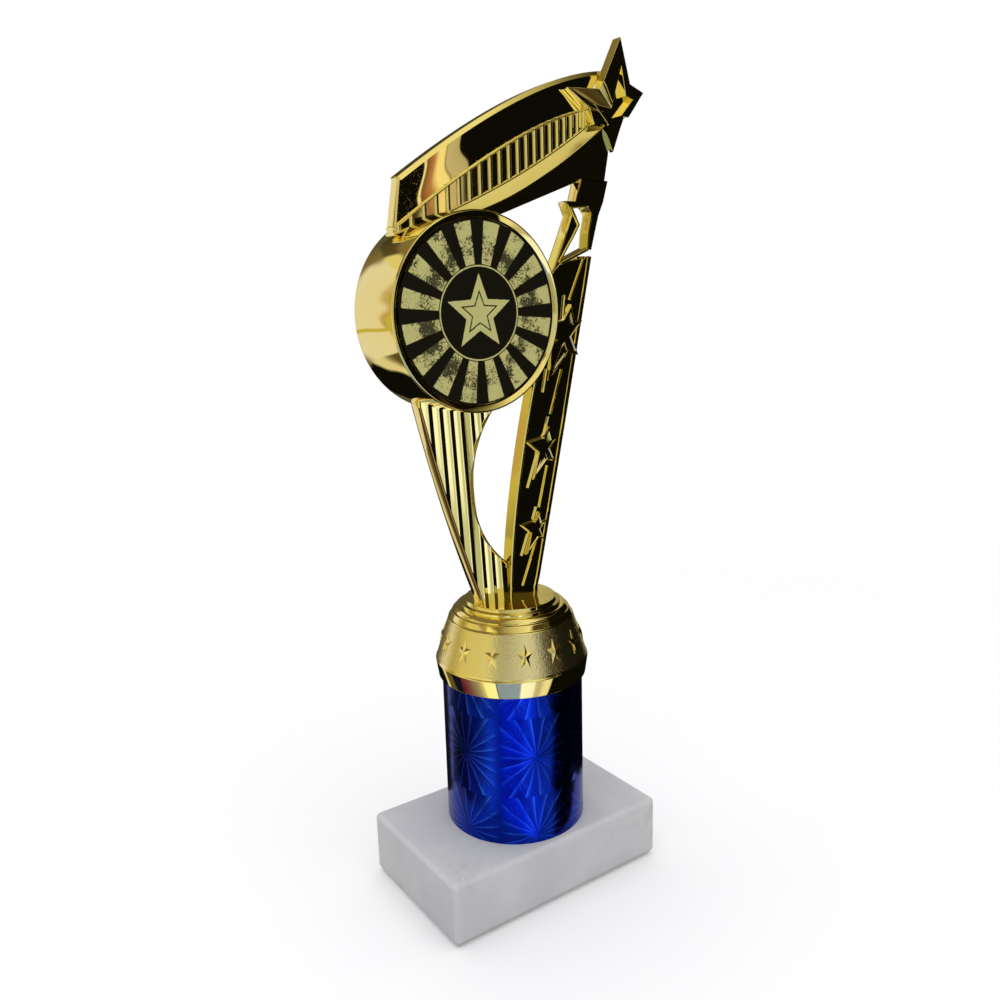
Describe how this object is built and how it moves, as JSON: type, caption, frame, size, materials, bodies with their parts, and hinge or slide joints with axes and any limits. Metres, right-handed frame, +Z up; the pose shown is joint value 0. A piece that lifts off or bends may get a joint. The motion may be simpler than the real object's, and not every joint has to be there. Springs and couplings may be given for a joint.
{
  "type": "column trophy",
  "caption": "Award on a marble block: a foil-covered column, a gold cap with raised stars, and a gold openwork figure that holds a round emblem in a drum.",
  "frame": {"origin": "middle of the underside, on the axis of the column and its rod, where the felt rests on the table", "axes": "+Z up along the column, -Y towards the emblem's face (front), +X to the right seen from the front, along the block's length"},
  "size_m": [0.0959, 0.05, 0.2623],
  "materials": {
    "felt": "pressed felt",
    "marble": "polished white marble with grey clouds",
    "steel": "zinc-plated",
    "plug_plastic": "moulded",
    "tube_plastic": "extruded",
    "blue_foil": "prismatic metallised foil",
    "gold_plastic": "vacuum-metallised mirror gold",
    "brass_insert": "turned",
    "foam_tape": "double-sided foam",
    "emblem_print": "brushed gold with black print"
  },
  "bodies": {
    "root": {"base_felt": "felt", "marble_base": "marble", "base_nut": "steel", "base_washer": "steel", "threaded_rod": "steel", "column_plug_lower": "plug_plastic", "column_tube": "tube_plastic", "column_foil": "blue_foil", "column_plug_upper": "plug_plastic", "riser_cap": "gold_plastic", "figure_body": "gold_plastic", "figure_insert": "brass_insert", "emblem_pad": "foam_tape", "emblem_disc": "emblem_print", "drum_back_cover": "gold_plastic"}
  },
  "joints": []
}
